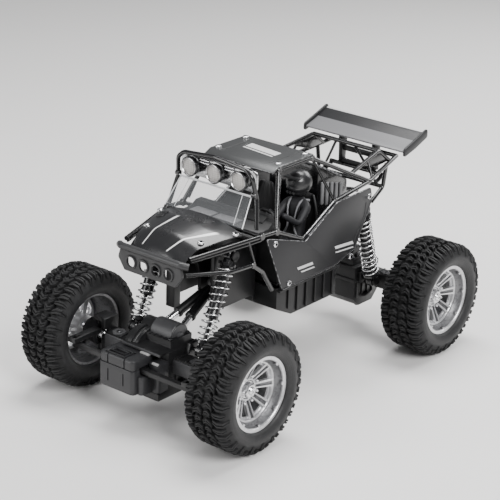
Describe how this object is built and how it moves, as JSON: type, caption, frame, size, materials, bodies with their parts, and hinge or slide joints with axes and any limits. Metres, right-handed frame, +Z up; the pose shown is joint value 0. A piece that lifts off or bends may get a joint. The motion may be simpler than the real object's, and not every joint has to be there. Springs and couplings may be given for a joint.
{
  "type": "remote control car",
  "caption": "Open-cage rock crawler toy car with four lugged tyres, solid sprung axles, front steering, side panels, lamp bar and rear wing.",
  "frame": {"origin": "on the ground, midway between the four wheels", "axes": "+X to the nose, +Y to the driver's left, +Z up"},
  "size_m": [0.2826, 0.176, 0.1619],
  "materials": {
    "black_plastic": "satin",
    "alloy_panel": "satin",
    "bonnet_plastic": "satin gloss",
    "wing_plastic": "satin",
    "cockpit_plastic": "matte",
    "figure_plastic": "matte",
    "clear_plastic": "clear",
    "lamp_lens": "frosted",
    "bright_steel": "bright",
    "motor_can": "brushed",
    "gear_plastic": "matte",
    "battery_sleeve": "satin",
    "circuit_green": "satin",
    "tyre_rubber": "matte",
    "silver_rim": "satin",
    "shock_black": "gloss",
    "shock_steel": "bright",
    "spring_steel": "bright"
  },
  "bodies": {
    "chassis": {"chassis_tub": "black_plastic", "front_tower": "black_plastic", "rear_tower": "black_plastic", "battery_pack": "battery_sleeve", "battery_cover": "black_plastic", "circuit_board": "circuit_green", "cockpit_tray": "cockpit_plastic", "driver_figure": "figure_plastic", "cage_left": "black_plastic", "cage_right": "black_plastic", "cage_cross_tubes": "black_plastic", "roof_panel": "alloy_panel", "side_panels": "alloy_panel", "bonnet": "bonnet_plastic", "front_bumper": "black_plastic", "windscreen": "clear_plastic", "lamp_bar": "black_plastic", "lamp_lenses": "lamp_lens", "engine_cover": "black_plastic", "rear_wing": "wing_plastic", "panel_screws": "bright_steel"},
    "switch_knob": {"power_switch": "black_plastic"},
    "front_pivot": {"front_pivot_ball": "bright_steel"},
    "front_axle": {"front_axle_case": "black_plastic", "front_axle_cover": "black_plastic", "front_motors": "motor_can", "steering_case": "black_plastic"},
    "front_pinion": {"front_motor_pinion": "gear_plastic"},
    "front_shaft": {"front_drive_shaft": "bright_steel"},
    "steer_gear": {"steering_gear": "gear_plastic"},
    "tie_rod": {"tie_rod": "black_plastic"},
    "knuckle_left": {"knuckle_left": "black_plastic"},
    "knuckle_right": {"knuckle_right": "black_plastic"},
    "front_left_wheel": {"front_left_tyre": "tyre_rubber", "front_left_rim": "silver_rim", "front_left_stub_axle": "bright_steel"},
    "front_right_wheel": {"front_right_tyre": "tyre_rubber", "front_right_rim": "silver_rim", "front_right_stub_axle": "bright_steel"},
    "rear_pivot": {"rear_pivot_ball": "bright_steel"},
    "rear_axle": {"rear_axle_case": "black_plastic", "rear_axle_cover": "black_plastic", "rear_motor": "motor_can"},
    "rear_pinion": {"rear_motor_pinion": "gear_plastic"},
    "rear_wheels": {"rear_drive_shaft": "bright_steel", "rear_tyres": "tyre_rubber", "rear_left_rim": "silver_rim", "rear_right_rim": "silver_rim"},
    "front_left_shock": {"front_left_shock_body": "shock_black", "front_left_spring": "spring_steel"},
    "front_left_shock_rod": {"front_left_shock_rod": "shock_steel"},
    "front_right_shock": {"front_right_shock_body": "shock_black", "front_right_spring": "spring_steel"},
    "front_right_shock_rod": {"front_right_shock_rod": "shock_steel"},
    "rear_left_shock": {"rear_left_shock_body": "shock_black", "rear_left_spring": "spring_steel"},
    "rear_left_shock_rod": {"rear_left_shock_rod": "shock_steel"},
    "rear_right_shock": {"rear_right_shock_body": "shock_black", "rear_right_spring": "spring_steel"},
    "rear_right_shock_rod": {"rear_right_shock_rod": "shock_steel"}
  },
  "joints": [
    {"name": "power_switch_slide", "type": "slide", "parent": "chassis", "child": "switch_knob", "axis": [1, 0, 0], "range_m": [0, 0.0024]},
    {"name": "front_bump_left", "type": "hinge", "parent": "chassis", "child": "front_pivot", "pos_m": [0.046, 0, 0.072], "axis": [0.7802, -0.4749, -0.4071], "range_deg": [-7, 7], "stiffness_Nm_per_rad": 1.2, "springref_deg": -3.15},
    {"name": "front_bump_right", "type": "hinge", "parent": "front_pivot", "child": "front_axle", "pos_m": [0.046, 0, 0.072], "axis": [-0.7802, -0.4749, 0.4071], "range_deg": [-7, 7], "stiffness_Nm_per_rad": 1.2, "springref_deg": -3.15},
    {"name": "front_left_shock_swing", "type": "hinge", "parent": "chassis", "child": "front_left_shock", "pos_m": [0.066, 0.028, 0.106], "axis": [0, 1, 0], "range_deg": [-6, 6]},
    {"name": "front_left_shock_stroke", "type": "slide", "parent": "front_left_shock", "child": "front_left_shock_rod", "axis": [-0.4091, 0, 0.9125], "range_m": [-0.0045, 0.0045], "deforming": ["front_left_spring"]},
    {"name": "front_right_shock_swing", "type": "hinge", "parent": "chassis", "child": "front_right_shock", "pos_m": [0.066, -0.028, 0.106], "axis": [0, 1, 0], "range_deg": [-6, 6]},
    {"name": "front_right_shock_stroke", "type": "slide", "parent": "front_right_shock", "child": "front_right_shock_rod", "axis": [-0.4091, 0, 0.9125], "range_m": [-0.0045, 0.0045], "deforming": ["front_right_spring"]},
    {"name": "rear_bump_left", "type": "hinge", "parent": "chassis", "child": "rear_pivot", "pos_m": [-0.046, 0, 0.072], "axis": [0.7389, 0.4598, 0.4926], "range_deg": [-7, 7], "stiffness_Nm_per_rad": 1.2, "springref_deg": -3.15},
    {"name": "rear_bump_right", "type": "hinge", "parent": "rear_pivot", "child": "rear_axle", "pos_m": [-0.046, 0, 0.072], "axis": [-0.7389, 0.4598, -0.4926], "range_deg": [-7, 7], "stiffness_Nm_per_rad": 1.2, "springref_deg": -3.15},
    {"name": "rear_left_shock_swing", "type": "hinge", "parent": "chassis", "child": "rear_left_shock", "pos_m": [-0.074, 0.028, 0.1], "axis": [0, 1, 0], "range_deg": [-6, 6]},
    {"name": "rear_left_shock_stroke", "type": "slide", "parent": "rear_left_shock", "child": "rear_left_shock_rod", "axis": [0.2813, 0, 0.9596], "range_m": [-0.0045, 0.0045], "deforming": ["rear_left_spring"]},
    {"name": "rear_right_shock_swing", "type": "hinge", "parent": "chassis", "child": "rear_right_shock", "pos_m": [-0.074, -0.028, 0.1], "axis": [0, 1, 0], "range_deg": [-6, 6]},
    {"name": "rear_right_shock_stroke", "type": "slide", "parent": "rear_right_shock", "child": "rear_right_shock_rod", "axis": [0.2813, 0, 0.9596], "range_m": [-0.0045, 0.0045], "deforming": ["rear_right_spring"]},
    {"name": "steer_left", "type": "hinge", "parent": "front_axle", "child": "knuckle_left", "pos_m": [0.1013, 0.0485, 0.04], "axis": [0, 0, 1], "range_deg": [-24, 24]},
    {"name": "steer_right", "type": "hinge", "parent": "front_axle", "child": "knuckle_right", "pos_m": [0.1013, -0.0485, 0.04], "axis": [0, 0, 1], "range_deg": [-24.5, 24.5]},
    {"name": "tie_rod_slide", "type": "slide", "parent": "front_axle", "child": "tie_rod", "axis": [0, 1, 0], "range_m": [-0.0108, 0.0108]},
    {"name": "steering_gear_turn", "type": "hinge", "parent": "front_axle", "child": "steer_gear", "pos_m": [0.1177, -0.002, 0.04], "axis": [0, 0, 1], "range_deg": [-130, 130]},
    {"name": "front_left_wheel_spin", "type": "hinge", "parent": "knuckle_left", "child": "front_left_wheel", "pos_m": [0.1013, 0.071, 0.04], "axis": [0, 1, 0], "continuous": true},
    {"name": "front_right_wheel_spin", "type": "hinge", "parent": "knuckle_right", "child": "front_right_wheel", "pos_m": [0.1013, -0.071, 0.04], "axis": [0, 1, 0], "continuous": true},
    {"name": "front_shaft_spin", "type": "hinge", "parent": "front_axle", "child": "front_shaft", "pos_m": [0.1013, 0, 0.04], "axis": [0, 1, 0], "continuous": true},
    {"name": "front_pinion_spin", "type": "hinge", "parent": "front_axle", "child": "front_pinion", "pos_m": [0.0948, 0, 0.05462], "axis": [0, 1, 0], "continuous": true},
    {"name": "rear_wheels_spin", "type": "hinge", "parent": "rear_axle", "child": "rear_wheels", "pos_m": [-0.1013, 0, 0.04], "axis": [0, 1, 0], "continuous": true},
    {"name": "rear_pinion_spin", "type": "hinge", "parent": "rear_axle", "child": "rear_pinion", "pos_m": [-0.0948, 0, 0.05462], "axis": [0, 1, 0], "continuous": true}
  ],
  "couplings": [
    {"joint": "front_left_shock_swing", "follows": "front_bump_left", "ratio": -0.60843},
    {"joint": "front_left_shock_stroke", "follows": "front_bump_left", "m_per_rad": 0.030483},
    {"joint": "front_right_shock_swing", "follows": "front_bump_right", "ratio": -0.60843},
    {"joint": "front_right_shock_stroke", "follows": "front_bump_right", "m_per_rad": 0.030483},
    {"joint": "rear_left_shock_swing", "follows": "rear_bump_left", "ratio": 0.63069},
    {"joint": "rear_left_shock_stroke", "follows": "rear_bump_left", "m_per_rad": 0.03188},
    {"joint": "rear_right_shock_swing", "follows": "rear_bump_right", "ratio": 0.63069},
    {"joint": "rear_right_shock_stroke", "follows": "rear_bump_right", "m_per_rad": 0.03188},
    {"joint": "steer_right", "follows": "steer_left", "ratio": 1},
    {"joint": "tie_rod_slide", "follows": "steer_left", "m_per_rad": 0.02551},
    {"joint": "steering_gear_turn", "follows": "steer_left", "ratio": 5.3146},
    {"joint": "front_right_wheel_spin", "follows": "front_left_wheel_spin", "ratio": 1},
    {"joint": "front_shaft_spin", "follows": "front_left_wheel_spin", "ratio": 1},
    {"joint": "front_pinion_spin", "follows": "front_left_wheel_spin", "ratio": -3},
    {"joint": "rear_pinion_spin", "follows": "rear_wheels_spin", "ratio": -3}
  ]
}
